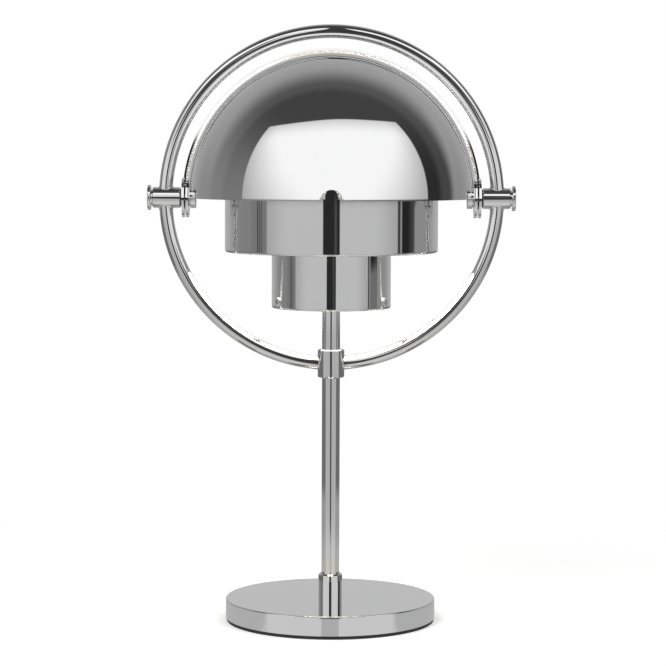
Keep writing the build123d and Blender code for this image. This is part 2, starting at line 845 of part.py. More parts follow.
# Link between the two light boards, through the heat sink
with BuildPart() as board_link:
    with BuildSketch(Plane.XY.offset(sink_bottom)):
        with Locations((-head_connector_offset, 0)):
            Circle(link_diameter / 2)
    extrude(amount=sink_thickness)
keep(board_link, "board_link")

# Connector on the upper light board, where the lead from the base ends
head_connector_top = upper_board_top + head_connector_height
with BuildPart() as head_connector:
    with BuildSketch(Plane.XY.offset(upper_board_top)):
        with Locations((head_connector_offset, 0)):
            Rectangle(head_connector_size, head_connector_size)
    extrude(amount=head_connector_height)
keep(head_connector, "head_connector")

# Lead from the control board through both stems to the lamp head
lead_loop_top = head_connector_top + lead_loop_rise
with BuildPart() as power_lead:
    with BuildLine() as lead_route:
        FilletPolyline(
            (0, connector_front, lead_height),
            (0, 0, lead_height),
            (0, 0, lead_loop_top),
            (head_connector_offset, 0, lead_loop_top),
            (head_connector_offset, 0, head_connector_top),
            radius=[lead_bend, lead_loop_radius, lead_loop_radius],
        )
    with BuildSketch(Plane(origin=lead_route.line @ 0, z_dir=lead_route.line % 0)):
        Circle(lead_diameter / 2)
    sweep()
keep(power_lead, "power_lead")


def diffuser(name, height, hole_diameter):
    """Opal disc across the narrow shade, with a hole for the stem where it passes."""
    with BuildPart() as disc:
        with BuildSketch(Plane.XY.offset(height)):
            Circle(narrow_inner - diffuser_play)
            if hole_diameter:
                Circle(hole_diameter / 2, mode=Mode.SUBTRACT)
        extrude(amount=diffuser_thickness)
    keep(disc, name)


def diffuser_clips(name, height):
    """Angle clips inside the narrow shade, their tops at the height where a diffuser rests."""
    outside = sqrt((narrow_inner - fit) ** 2 - (clip_width / 2) ** 2)
    with BuildPart() as clips:
        for angle in strut_angles():
            with BuildSketch(radial_plane(angle, outside, height)):
                Rectangle(clip_width, clip_height, align=(Align.CENTER, Align.MAX))
            extrude(amount=-clip_thickness)
            with BuildSketch(radial_plane(angle, outside, height)):
                Rectangle(clip_width, clip_thickness, align=(Align.CENTER, Align.MAX))
            extrude(amount=-clip_reach)
            with BuildSketch(radial_plane(angle, outside, height - clip_screw_drop)):
                Circle(clip_screw_diameter / 2 + fit)
            extrude(amount=-clip_thickness, mode=Mode.SUBTRACT)
    keep(clips, name)


diffuser("lower_diffuser", lower_rest, stem_diameter + 2 * diffuser_stem_play)
diffuser("upper_diffuser", upper_rest, 0)
diffuser_clips("lower_diffuser_clips", lower_rest)
diffuser_clips("upper_diffuser_clips", upper_rest)
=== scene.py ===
import json
import math

import bmesh
import bpy
from mathutils import Matrix, Vector


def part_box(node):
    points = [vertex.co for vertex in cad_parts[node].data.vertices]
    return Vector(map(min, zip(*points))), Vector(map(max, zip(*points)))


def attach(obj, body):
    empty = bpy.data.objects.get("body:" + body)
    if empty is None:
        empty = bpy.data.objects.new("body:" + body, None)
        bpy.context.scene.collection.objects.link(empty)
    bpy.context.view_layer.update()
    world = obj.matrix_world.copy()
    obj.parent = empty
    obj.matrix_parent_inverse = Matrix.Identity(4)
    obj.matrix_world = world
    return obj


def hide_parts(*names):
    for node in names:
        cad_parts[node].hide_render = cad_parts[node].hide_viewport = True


# Portable table lamp in polished chrome: fine shells and tubes, materials, studio and camera.
# Metres. Origin on the table under the stem, +Z up, pivots along X, front towards -Y.

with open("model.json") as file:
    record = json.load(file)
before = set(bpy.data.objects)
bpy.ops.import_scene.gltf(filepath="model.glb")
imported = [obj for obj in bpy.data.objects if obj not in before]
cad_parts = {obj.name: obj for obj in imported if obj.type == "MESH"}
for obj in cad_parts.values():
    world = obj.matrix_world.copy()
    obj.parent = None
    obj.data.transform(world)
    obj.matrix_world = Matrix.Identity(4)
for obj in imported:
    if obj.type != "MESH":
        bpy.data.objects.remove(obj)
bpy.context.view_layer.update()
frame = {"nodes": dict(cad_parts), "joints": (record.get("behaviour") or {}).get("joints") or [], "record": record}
nodes = frame["nodes"]
scene = bpy.context.scene

# Sizes of the model, from its nodes' boxes where they give them
head_height = frame["joints"][0]["pos_m"][2]
head = Vector((0, 0, head_height))
shade_wall = 0.0012
cylinder_wall = 0.0008
ring_wall = 0.0010
pivot_hole_radius = 0.00205
stem_clearance = 0.0008
notch_depth = 0.008
chip_circle_radius = 0.020
ear_radius = head_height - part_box("front_shade")[0].z
notch_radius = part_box("lower_stem")[1].x + stem_clearance
arc_low, arc_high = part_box("ring_upper_arc")
tube_radius = (arc_high.y - arc_low.y) / 2
ring_radius = arc_high.z - head_height - tube_radius
ring_inside = ring_radius - tube_radius
barrel_angle = math.asin((arc_low.z - head_height) / ring_inside)
collar_angle = math.asin(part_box("ring_right_arc")[0].x / ring_inside)

# Edges of the white paint inside the shades
ear_reach = 0.0006
paint_edge = 0.0002

# Fineness of the shells and tubes
tube_sides = 64
arc_step = math.radians(0.5)
shell_step = math.radians(1.5)
round_sides = 128
surface_tolerance = 0.00002
same_direction = 0.97
sharp_angle = math.radians(40)

# Camera at the photograph's viewing angle
camera_distance = 1.15
camera_height = 0.2277
camera_sideways = 0.0006
camera_pitch = 4.424
camera_roll = -0.2
camera_lens = 129.98
camera_sensor = 36.0

# Studio
floor_radius = 6.0
floor_shadow_run = (0.08, 0.35)
floor_lift = 0.24
card_radius = 2.6
tent_radius = 2.502
shade_tent_radius = 2.5
stage_step = 0.00005
stage_sides = 96
stage_rings = 64
world_light = 0.6
key_place = (-0.9, -1.1, 1.5)
key_power = 14.0
fill_place = (1.2, -0.6, 1.1)
fill_power = 8.0
lamp_size = 1.1

# The lamp's own light between the cylinders
glow_count = 16
glow_size = 0.016
glow_power = 0.008
upper_glow_power = 0.006
glow_colour = (1.0, 0.96, 0.88)


class Shader:
    """A node tree being put together, with short ways to add and join nodes."""

    def __init__(self, tree):
        self.tree = tree
        tree.nodes.clear()

    def add(self, kind, settings=None, **sockets):
        """Add a node, apply its settings, and set or link its input sockets by name."""
        node = self.tree.nodes.new(kind)
        for name, value in (settings or {}).items():
            setattr(node, name, value)
        for name, value in sockets.items():
            self.feed(node.inputs[name.replace("_", " ")], value)
        return node

    def feed(self, socket, value):
        """Set a socket, or link it where the value is another node's output."""
        if isinstance(value, bpy.types.NodeSocket):
            self.tree.links.new(value, socket)
        else:
            socket.default_value = value

    def math(self, operation, *values):
        """One Math node on numbers or outputs."""
        node = self.tree.nodes.new("ShaderNodeMath")
        node.operation = operation
        for socket, value in zip(node.inputs, values):
            self.feed(socket, value)
        return node.outputs[0]

    def product(self, first, *others):
        """Product of numbers or outputs."""
        for other in others:
            first = self.math("MULTIPLY", first, other)
        return first

    def ramp(self, value, start, end, low=0.0, high=1.0):
        """Smooth step of a value between start and end, from low to high."""
        node = self.add("ShaderNodeMapRange", {"interpolation_type": "SMOOTHSTEP"})
        for name, number in (
            ("Value", value), ("From Min", start), ("From Max", end), ("To Min", low), ("To Max", high)
        ):
            self.feed(node.inputs[name], number)
        return node.outputs["Result"]

    def band(self, value, low, high, soft):
        """1 between low and high with soft edges, 0 elsewhere."""
        rise = self.ramp(value, low - soft, low + soft)
        fall = self.ramp(value, high - soft, high + soft, 1.0, 0.0)
        return self.math("MULTIPLY", rise, fall)

    def blend(self, factor, first, second):
        """A number that goes from first to second with a factor."""
        node = self.tree.nodes.new("ShaderNodeMix")
        self.feed(node.inputs[0], factor)
        self.feed(node.inputs[2], first)
        self.feed(node.inputs[3], second)
        return node.outputs[0]

    def tint(self, factor, first, second):
        """A colour that goes from first to second with a factor."""
        node = self.add("ShaderNodeMix", {"data_type": "RGBA"})
        self.feed(node.inputs[0], factor)
        self.feed(node.inputs[6], (*first, 1.0) if isinstance(first, tuple) else first)
        self.feed(node.inputs[7], (*second, 1.0) if isinstance(second, tuple) else second)
        return node.outputs[2]

    def place(self):
        """Position on the piece, in metres, which moves with it."""
        return self.add("ShaderNodeTexCoord").outputs["Object"]

    def noise(self, size, detail=3.0):
        """Noise from 0 to 1 whose features are about one size wide, in metres."""
        node = self.add("ShaderNodeTexNoise", Vector=self.place(), Scale=1.0 / size, Detail=detail)
        return node.outputs["Fac"]

    def bump(self, height, depth):
        """Normal of a height map from 0 to 1 that is so many metres deep."""
        node = self.add("ShaderNodeBump", Strength=1.0, Distance=depth, Height=height)
        return node.outputs["Normal"]


def new_surface(name, **sockets):
    """A material with a Principled surface. Returns the material, its shader and its surface node."""
    material = bpy.data.materials.new(name)
    material.use_nodes = True
    shader = Shader(material.node_tree)
    surface = shader.add("ShaderNodeBsdfPrincipled")
    output = shader.add("ShaderNodeOutputMaterial")
    shader.tree.links.new(surface.outputs[0], output.inputs["Surface"])
    for socket, value in sockets.items():
        surface.inputs[socket].default_value = value
    return material, shader, surface


WHITE = (1.0, 1.0, 1.0)
PAPER = (0.88, 0.88, 0.88)
LAMP_POOL_TINT = (1.0, 0.985, 0.91)
CHROME_LIGHT = (0.82, 0.82, 0.825)
CHROME_DARK = (0.79, 0.79, 0.797)
PAINT_LIGHT = (0.88, 0.87, 0.845)
PAINT_DARK = (0.82, 0.81, 0.785)


def chrome_finish(shader):
    """Colour, roughness and normal of polished plating: faint wiping marks and a slight waviness."""
    mark_size, mark_range, roughness_range = 0.022, (0.3, 0.8), (0.02, 0.04)
    wave_size, wave_depth = 0.009, 0.000003
    marks = shader.noise(mark_size, detail=4.0)
    waves = shader.noise(wave_size, detail=2.0)
    colour = shader.tint(marks, CHROME_DARK, CHROME_LIGHT)
    roughness = shader.ramp(marks, *mark_range, *roughness_range)
    normal = shader.bump(waves, wave_depth)
    return colour, roughness, normal


def polished_chrome():
    """Polished plating."""
    material, shader, surface = new_surface("polished_chrome", Metallic=1.0)
    colour, roughness, normal = chrome_finish(shader)
    shader.feed(surface.inputs["Base Color"], colour)
    shader.feed(surface.inputs["Roughness"], roughness)
    shader.feed(surface.inputs["Normal"], normal)
    return material


def painted_inside(name, inside):
    """Polished plating outside, matt white paint where inside(shader) is 1."""
    material, shader, surface = new_surface(name)
    mask = inside(shader)
    colour, roughness, normal = chrome_finish(shader)
    grain_size, grain_depth, patch_size = 0.0007, 0.00003, 0.03
    grain_range, roughness_range = (0.2, 0.8), (0.42, 0.55)
    grain = shader.noise(grain_size, detail=2.0)
    paint = shader.tint(shader.noise(patch_size), PAINT_DARK, PAINT_LIGHT)
    paint_normal = shader.bump(grain, grain_depth)
    paint_roughness = shader.ramp(grain, *grain_range, *roughness_range)
    mixed_normal = shader.add("ShaderNodeMix", {"data_type": "VECTOR"})
    shader.feed(mixed_normal.inputs[0], mask)
    shader.feed(mixed_normal.inputs[4], normal)
    shader.feed(mixed_normal.inputs[5], paint_normal)
    shader.feed(surface.inputs["Base Color"], shader.tint(mask, colour, paint))
    shader.feed(surface.inputs["Metallic"], shader.math("SUBTRACT", 1.0, mask))
    shader.feed(surface.inputs["Roughness"], shader.blend(mask, roughness, paint_roughness))
    shader.feed(surface.inputs["Normal"], mixed_normal.outputs[1])
    return material


def split_place(shader):
    """X, Y and height above the pivot axis of a point on the piece."""
    parts = shader.add("ShaderNodeSeparateXYZ", Vector=shader.place())
    height = shader.math("SUBTRACT", parts.outputs["Z"], head_height)
    return parts.outputs["X"], parts.outputs["Y"], height


def length(shader, *parts):
    """Length of a vector from its parts."""
    total = 0.0
    for part in parts:
        total = shader.math("MULTIPLY_ADD", part, part, total)
    return shader.math("SQRT", total)


def sphere_inside(inner_radius):
    """Mask of a turning shade's inner face, without its ears."""

    def mask(shader):
        x, y, height = split_place(shader)
        within = shader.math("LESS_THAN", length(shader, x, y, height), inner_radius + paint_edge)
        off_ear = shader.math("LESS_THAN", shader.math("ABSOLUTE", x), inner_radius - ear_reach)
        return shader.math("MULTIPLY", within, off_ear)

    return mask


def cylinder_inside(inner_radius, half_height):
    """Mask of a cylinder shade's inner face, up to its turned edges."""

    def mask(shader):
        x, y, height = split_place(shader)
        within = shader.math("LESS_THAN", length(shader, x, y), inner_radius + paint_edge)
        below_lip = shader.math("LESS_THAN", shader.math("ABSOLUTE", height), half_height + paint_edge)
        return shader.math("MULTIPLY", within, below_lip)

    return mask


def plain_surface(name, light, dark, mark, roughness, depth, metallic):
    """A surface with two close colours in patches, uneven gloss and a fine grain."""
    grains_per_mark, grain_range = 12, (0.25, 0.75)
    material, shader, surface = new_surface(name, Metallic=metallic)
    patches = shader.noise(mark)
    fine = shader.noise(mark / grains_per_mark)
    shader.feed(surface.inputs["Base Color"], shader.tint(patches, dark, light))
    shader.feed(surface.inputs["Roughness"], shader.ramp(fine, *grain_range, *roughness))
    shader.feed(surface.inputs["Normal"], shader.bump(fine, depth))
    return material


WARM_LIGHT = (1.0, 0.80, 0.50)
WARM_WHITE = (1.0, 0.92, 0.74)
PHOSPHOR_DARK = (0.9, 0.66, 0.2)
PHOSPHOR_LIGHT = (0.98, 0.84, 0.4)
BOARD_WHITE = (0.86, 0.86, 0.83)
BOARD_GREY = (0.78, 0.78, 0.74)


def opal_acrylic():
    """Opal discs: the lower one is lit, brighter over its ring of chips, and the upper one is off."""
    glow_width, faint, bright = 0.014, 2.6, 4.2
    patch_size, grain_size, grain_depth = 0.02, 0.0012, 0.00001
    material, shader, surface = new_surface("opal_acrylic", Roughness=0.32)
    x, y, height = split_place(shader)
    from_ring = shader.math("SUBTRACT", length(shader, x, y), chip_circle_radius)
    glow = shader.ramp(shader.math("ABSOLUTE", from_ring), 0.0, glow_width, 1.0, 0.0)
    lower = shader.math("LESS_THAN", height, 0.0)
    strength = shader.math("MULTIPLY", shader.blend(glow, faint, bright), lower)
    colour = shader.tint(shader.noise(patch_size), PAINT_DARK, PAINT_LIGHT)
    shader.feed(surface.inputs["Base Color"], colour)
    shader.feed(surface.inputs["Emission Color"], shader.tint(glow, WARM_LIGHT, WARM_WHITE))
    shader.feed(surface.inputs["Emission Strength"], strength)
    shader.feed(surface.inputs["Normal"], shader.bump(shader.noise(grain_size), grain_depth))
    return material


def light_chip():
    """Phosphor with a slightly uneven yellow, lit in the lower ring only."""
    material, shader, surface = new_surface("light_chip", Roughness=0.3)
    grain_size, brightness = 0.0008, 6.0
    uneven = shader.noise(grain_size)
    height = split_place(shader)[2]
    lower = shader.math("LESS_THAN", height, 0.0)
    shader.feed(surface.inputs["Base Color"], shader.tint(uneven, PHOSPHOR_DARK, PHOSPHOR_LIGHT))
    shader.feed(surface.inputs["Emission Color"], shader.tint(uneven, WARM_LIGHT, WARM_WHITE))
    shader.feed(surface.inputs["Emission Strength"], shader.math("MULTIPLY", lower, brightness))
    return material


def circuit_board():
    """White board with fine grey lines."""
    density, line_width, line_edge, line_height = 220.0, 0.03, (0.2, 0.8), 0.00003
    material, shader, surface = new_surface("circuit_board", Roughness=0.42)
    pattern = shader.add(
        "ShaderNodeTexBrick", Scale=density, Vector=shader.place(), Mortar_Size=line_width
    )
    lines = shader.ramp(pattern.outputs["Fac"], *line_edge)
    shader.feed(surface.inputs["Base Color"], shader.tint(lines, BOARD_WHITE, BOARD_GREY))
    shader.feed(surface.inputs["Normal"], shader.bump(lines, line_height))
    return material


# Light and dark colour, size of the marks, range of roughness, depth of the grain, and share of metal
PLAIN_FINISHES = {
    "zinc_steel": ((0.70, 0.70, 0.71), (0.60, 0.60, 0.61), 0.004, (0.22, 0.36), 0.00001, 1.0),
    "black_nylon": ((0.03, 0.03, 0.031), (0.02, 0.02, 0.021), 0.003, (0.38, 0.55), 0.00002, 0.0),
    "black_rubber": ((0.03, 0.03, 0.03), (0.018, 0.018, 0.018), 0.006, (0.6, 0.8), 0.00004, 0.0),
    "iron": ((0.20, 0.20, 0.205), (0.13, 0.13, 0.135), 0.008, (0.5, 0.75), 0.00008, 0.8),
    "foil_pouch": ((0.62, 0.64, 0.66), (0.52, 0.54, 0.57), 0.01, (0.25, 0.45), 0.00006, 0.9),
    "bare_aluminium": ((0.80, 0.81, 0.82), (0.72, 0.73, 0.74), 0.006, (0.28, 0.42), 0.00001, 1.0),
    "white_plastic": ((0.88, 0.87, 0.84), (0.82, 0.81, 0.78), 0.003, (0.35, 0.5), 0.00001, 0.0),
    "amber_film": ((0.78, 0.47, 0.13), (0.70, 0.40, 0.10), 0.02, (0.2, 0.35), 0.00001, 0.0),
    "lead_jacket": ((0.06, 0.06, 0.06), (0.04, 0.04, 0.04), 0.004, (0.4, 0.55), 0.00001, 0.0),
    "button_plastic": ((0.05, 0.05, 0.055), (0.035, 0.035, 0.04), 0.002, (0.42, 0.6), 0.00003, 0.0),
}


def slot_materials():
    """One material for each slot of the record."""
    found = {name: plain_surface(name, *finish) for name, finish in PLAIN_FINISHES.items()}
    found["polished_chrome"] = polished_chrome()
    found["opal_acrylic"] = opal_acrylic()
    found["circuit_board"] = circuit_board()
    found["light_chip"] = light_chip()
    return found


def shade_materials():
    """Materials of the four shades, which are white inside."""
    found = {}
    for name in ("front_shade", "rear_shade"):
        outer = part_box(name)[1].x
        found[name] = painted_inside(f"{name}_finish", sphere_inside(outer - shade_wall))
    for name in ("wide_shade", "narrow_shade"):
        low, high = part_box(name)
        inner = high.x - cylinder_wall
        half = (high.z - low.z) / 2 - cylinder_wall
        found[name] = painted_inside(f"{name}_finish", cylinder_inside(inner, half))
    return found


def dress_nodes(slots, shades):
    """Give every node of the model its material."""
    for subpart in frame["record"]["subparts"]:
        piece = nodes[subpart["node"]]
        piece.data.materials.clear()
        piece.data.materials.append(shades.get(subpart["node"], slots[subpart["material_slot"]]))


def new_mesh(name, build):
    """A mesh that build(mesh) fills."""
    data = bpy.data.meshes.new(name)
    mesh = bmesh.new()
    build(mesh)
    mesh.to_mesh(data)
    mesh.free()
    return data


def join_loops(mesh, first, second):
    """Band of four-sided faces between two closed loops of points."""
    for number in range(len(first)):
        after = (number + 1) % len(first)
        mesh.faces.new((first[number], first[after], second[after], second[number]))


def finish_faces(mesh):
    """Turn all faces outwards and shade them smooth between sharp edges."""
    bmesh.ops.recalc_face_normals(mesh, faces=mesh.faces)
    for face in mesh.faces:
        face.smooth = True
    for edge in mesh.edges:
        edge.smooth = edge.calc_face_angle(0.0) < sharp_angle


def tube_loop(mesh, angle, radius):
    """Points round the ring's tube at an angle up from the right pivot."""
    outwards = Vector((math.cos(angle), 0, math.sin(angle)))
    backwards = Vector((0, 1, 0))
    middle = head + outwards * ring_radius
    points = []
    for number in range(tube_sides):
        turn = 2 * math.pi * number / tube_sides
        offset = outwards * math.cos(turn) + backwards * math.sin(turn)
        points.append(mesh.verts.new(middle + offset * radius))
    return points


def ring_arc(start, end):
    """Builder of a stretch of the ring: a hollow tube with flat ends."""

    def build(mesh):
        steps = math.ceil((end - start) / arc_step)
        angles = [start + (end - start) * number / steps for number in range(steps + 1)]
        outer = [tube_loop(mesh, angle, tube_radius) for angle in angles]
        inner = [tube_loop(mesh, angle, tube_radius - ring_wall) for angle in angles]
        for skin in (outer, inner):
            for loop, following in zip(skin, skin[1:]):
                join_loops(mesh, loop, following)
        for place in (0, -1):
            join_loops(mesh, outer[place], inner[place])
        finish_faces(mesh)

    return build


def border(grid):
    """Closed loop of points round a grid of points."""
    right = [row[-1] for row in grid[1:-1]]
    left = [row[0] for row in grid[1:-1]]
    return grid[0] + right + grid[-1][::-1] + left[::-1]


def quarter_shell(radius, facing):
    """Builder of a quarter of a ball's shell, from its level rim to the upright plane of the pivots."""

    def point(reach, up, along):
        """Place at an angle up from the rim, and at an angle along from the right pivot to the left."""
        across = reach * math.sin(along)
        forwards = facing * across * math.cos(up)
        return head + Vector((reach * math.cos(along), forwards, across * math.sin(up)))

    def build(mesh):
        pole = math.asin(pivot_hole_radius / radius) / 2
        rows = math.ceil(math.pi / 2 / shell_step)
        columns = 2 * rows
        skins = []
        for reach in (radius, radius - shade_wall):
            grid = []
            for row in range(rows + 1):
                up = math.pi / 2 * row / rows
                span = math.pi - 2 * pole
                alongs = [pole + span * column / columns for column in range(columns + 1)]
                grid.append([mesh.verts.new(point(reach, up, along)) for along in alongs])
            skins.append(grid)
        for grid in skins:
            for row, above in zip(grid, grid[1:]):
                for column in range(columns):
                    mesh.faces.new((row[column], row[column + 1], above[column + 1], above[column]))
        join_loops(mesh, *(border(grid) for grid in skins))
        bmesh.ops.recalc_face_normals(mesh, faces=mesh.faces)

    return build


def rod(radius, start, end):
    """Builder of a round rod between two points."""

    def build(mesh):
        axis = end - start
        turn = axis.to_track_quat("Z", "Y").to_matrix().to_4x4()
        bmesh.ops.create_cone(
            mesh,
            cap_ends=True,
            segments=round_sides,
            radius1=radius,
            radius2=radius,
            depth=axis.length,
            matrix=Matrix.Translation((start + end) / 2) @ turn,
        )

    return build


def combined(name, solid, joined, removed):
    """Mesh of one solid with others joined to it and others cut out of it."""
    target = bpy.data.objects.new(name, solid)
    things = [target]
    for operation, meshes in (("UNION", joined), ("DIFFERENCE", removed)):
        for data in meshes:
            helper = bpy.data.objects.new(f"{name}_helper", data)
            things.append(helper)
            step = target.modifiers.new(operation.lower(), "BOOLEAN")
            step.operation = operation
            step.solver = "EXACT"
            step.object = helper
    for thing in things:
        scene.collection.objects.link(thing)
    graph = bpy.context.evaluated_depsgraph_get()
    result = bpy.data.meshes.new_from_object(target.evaluated_get(graph))
    for thing in things:
        bpy.data.objects.remove(thing)
    return result


def true_normal(offset, flat, round_faces):
    """Normal at an offset from the head: of the round face that it is on, or else the flat face's."""
    for axes, radius in round_faces:
        outwards = Vector(part * kept for part, kept in zip(offset, axes))
        on_face = abs(outwards.length - radius) < surface_tolerance
        facing = outwards.normalized().dot(flat)
        if on_face and abs(facing) > same_direction:
            return outwards.normalized() * math.copysign(1.0, facing)
    return flat


def set_true_normals(data, round_faces):
    """Shade every round face by its true normals and every flat face flat."""
    normals = []
    for face in data.polygons:
        face.use_smooth = True
        for corner in face.vertices:
            normals.append(true_normal(data.vertices[corner].co - head, face.normal, round_faces))
    data.normals_split_custom_set(normals)


def turning_shade(name, facing):
    """Mesh of a turning shade: quarter shell, two flat ears with pivot holes, and the stem's notch."""
    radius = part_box(name)[1].x
    inner = radius - shade_wall
    right = Vector((1, 0, 0))
    outwards = Vector((0, facing, 0))
    ears = []
    for side in (-right, right):
        ears.append(rod(ear_radius, head + inner * side, head + radius * side))
    pivot_hole = rod(pivot_hole_radius, head - 2 * radius * right, head + 2 * radius * right)
    notch = rod(notch_radius, head + (radius - notch_depth) * outwards, head + 2 * radius * outwards)
    data = combined(
        f"{name}_shell",
        new_mesh(name, quarter_shell(radius, facing)),
        [new_mesh("ear", ear) for ear in ears],
        [new_mesh("pivot_hole", pivot_hole), new_mesh("notch", notch)],
    )
    ball, about_pivots, about_depth = (1, 1, 1), (0, 1, 1), (1, 0, 1)
    set_true_normals(
        data,
        (
            (ball, radius),
            (ball, inner),
            (about_pivots, ear_radius),
            (about_pivots, pivot_hole_radius),
            (about_depth, notch_radius),
        ),
    )
    return data


def chrome_piece(name, data, body, node, material):
    """A fine chrome piece that stands for a node of the model."""
    piece = bpy.data.objects.new(name, data)
    scene.collection.objects.link(piece)
    data.materials.append(material)
    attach(piece, body)
    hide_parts(node)
    return piece


def build_ring(chrome):
    """The ring's three stretches of tube."""
    half, full = math.pi, 2 * math.pi
    foot = 1.5 * math.pi
    for node, start, end in (
        ("ring_upper_arc", barrel_angle, half - barrel_angle),
        ("ring_left_arc", half + barrel_angle, foot - collar_angle),
        ("ring_right_arc", foot + collar_angle, full - barrel_angle),
    ):
        chrome_piece(f"{node}_tube", new_mesh(node, ring_arc(start, end)), "stand", node, chrome)


def build_turning_shades(shades):
    """The front and rear shades. Returns the two pieces."""
    pieces = []
    for node, facing in (("front_shade", -1), ("rear_shade", 1)):
        shell = turning_shade(node, facing)
        pieces.append(chrome_piece(f"{node}_shell", shell, node, node, shades[node]))
    return pieces


def stage_piece(name, build, material):
    """A stage object from a builder."""
    thing = bpy.data.objects.new(name, new_mesh(name, build))
    scene.collection.objects.link(thing)
    thing.data.materials.append(material)
    return thing


def only_reflected(thing):
    """Keep a studio card out of the picture and off the light: only the metal shows it."""
    thing.visible_camera = False
    thing.visible_diffuse = False
    thing.visible_transmission = False
    thing.visible_volume_scatter = False
    thing.visible_shadow = False


def disc(radius):
    """Builder of a flat disc."""

    def build(mesh):
        bmesh.ops.create_circle(mesh, cap_ends=True, radius=radius, segments=stage_sides)

    return build


def ball(radius):
    """Builder of a smooth ball."""

    def build(mesh):
        bmesh.ops.create_uvsphere(mesh, u_segments=stage_sides, v_segments=stage_rings, radius=radius)
        for face in mesh.faces:
            face.smooth = True

    return build


def lit_material(name, clear=False):
    """A material that only gives light, and may be clear. Returns it, its shader and its light."""
    material = bpy.data.materials.new(name)
    material.use_nodes = True
    material.cycles.emission_sampling = "NONE"
    shader = Shader(material.node_tree)
    light = shader.add("ShaderNodeEmission")
    surface = light
    if clear:
        surface = shader.add("ShaderNodeAddShader")
        through = shader.add("ShaderNodeBsdfTransparent")
        shader.tree.links.new(light.outputs[0], surface.inputs[0])
        shader.tree.links.new(through.outputs[0], surface.inputs[1])
    output = shader.add("ShaderNodeOutputMaterial")
    shader.tree.links.new(surface.outputs[0], output.inputs["Surface"])
    return material, shader, light


def seen_directly(shader):
    """1 for the rays that show a backdrop: from the camera, a reflection or a glass."""
    paths = shader.add("ShaderNodeLightPath")
    seen = shader.math("MAXIMUM", paths.outputs["Is Camera Ray"], paths.outputs["Is Glossy Ray"])
    return shader.math("MAXIMUM", seen, paths.outputs["Is Transmission Ray"])


def floor_material():
    """Pale floor that keeps the lamp's shadow near it and runs out to plain white."""
    material = bpy.data.materials.new("floor")
    material.use_nodes = True
    shader = Shader(material.node_tree)
    parts = shader.add("ShaderNodeSeparateXYZ", Vector=shader.place())
    away = length(shader, parts.outputs["X"], parts.outputs["Y"])
    far = shader.ramp(away, *floor_shadow_run)
    seen = seen_directly(shader)
    paper = shader.add("ShaderNodeBsdfDiffuse", Color=(*PAPER, 1.0))
    lift = shader.add("ShaderNodeEmission", Strength=shader.math("MULTIPLY", seen, floor_lift))
    near = shader.add("ShaderNodeAddShader")
    white = shader.add("ShaderNodeEmission", Strength=1.0)
    mixed = shader.add("ShaderNodeMixShader", Fac=shader.math("MULTIPLY", far, seen))
    output = shader.add("ShaderNodeOutputMaterial")
    links = shader.tree.links
    links.new(paper.outputs[0], near.inputs[0])
    links.new(lift.outputs[0], near.inputs[1])
    links.new(near.outputs[0], mixed.inputs[1])
    links.new(white.outputs[0], mixed.inputs[2])
    links.new(mixed.outputs[0], output.inputs["Surface"])
    return material


# Elevations in degrees over which the tents change, and how far aside left goes over into right
HORIZON = (-1.5, -0.9)
LOWEST = (-3.9, -3.1)
OVERHEAD = 62.0
SIDES = (-0.4, 0.4)


class Sky:
    """Directions out of the lamp's head, by which the studio is painted, with two angles in degrees."""

    def __init__(self, shader, drop=0.0):
        self.shader = shader
        offset = shader.add("ShaderNodeVectorMath", {"operation": "ADD"})
        shader.feed(offset.inputs[0], shader.place())
        shader.feed(offset.inputs[1], (0.0, 0.0, -drop))
        direction = shader.add("ShaderNodeVectorMath", {"operation": "NORMALIZE"})
        shader.feed(direction.inputs[0], offset.outputs[0])
        parts = shader.add("ShaderNodeSeparateXYZ", Vector=direction.outputs[0])
        x, self.y, z = parts.outputs
        forwards = shader.math("MULTIPLY", self.y, -1.0)
        self.azimuth = shader.math("DEGREES", shader.math("ARCTAN2", x, forwards))
        self.aside = shader.math("ABSOLUTE", self.azimuth)
        self.elevation = shader.math("DEGREES", shader.math("ARCSINE", z))
        self.right = shader.ramp(x, *SIDES)
        self.low = shader.ramp(self.elevation, *HORIZON, 1.0, 0.0)

    def patch(self, azimuths, elevations):
        """1 in a stretch of sky, 0 elsewhere. Each range has a start, an end and its edges' softness."""
        across = self.shader.band(self.azimuth, *azimuths)
        upright = self.shader.band(self.elevation, *elevations)
        return self.shader.math("MULTIPLY", across, upright)


def wall_edge(shader, sky, level, high, low_left, low_right):
    """How far back an edge of the wall lies: at eye level, high up, and low at the left and right."""
    high_up = 50.0
    above = shader.ramp(sky.elevation, 0.0, high_up, level, high)
    return shader.blend(sky.low, above, shader.blend(sky.right, low_left, low_right))


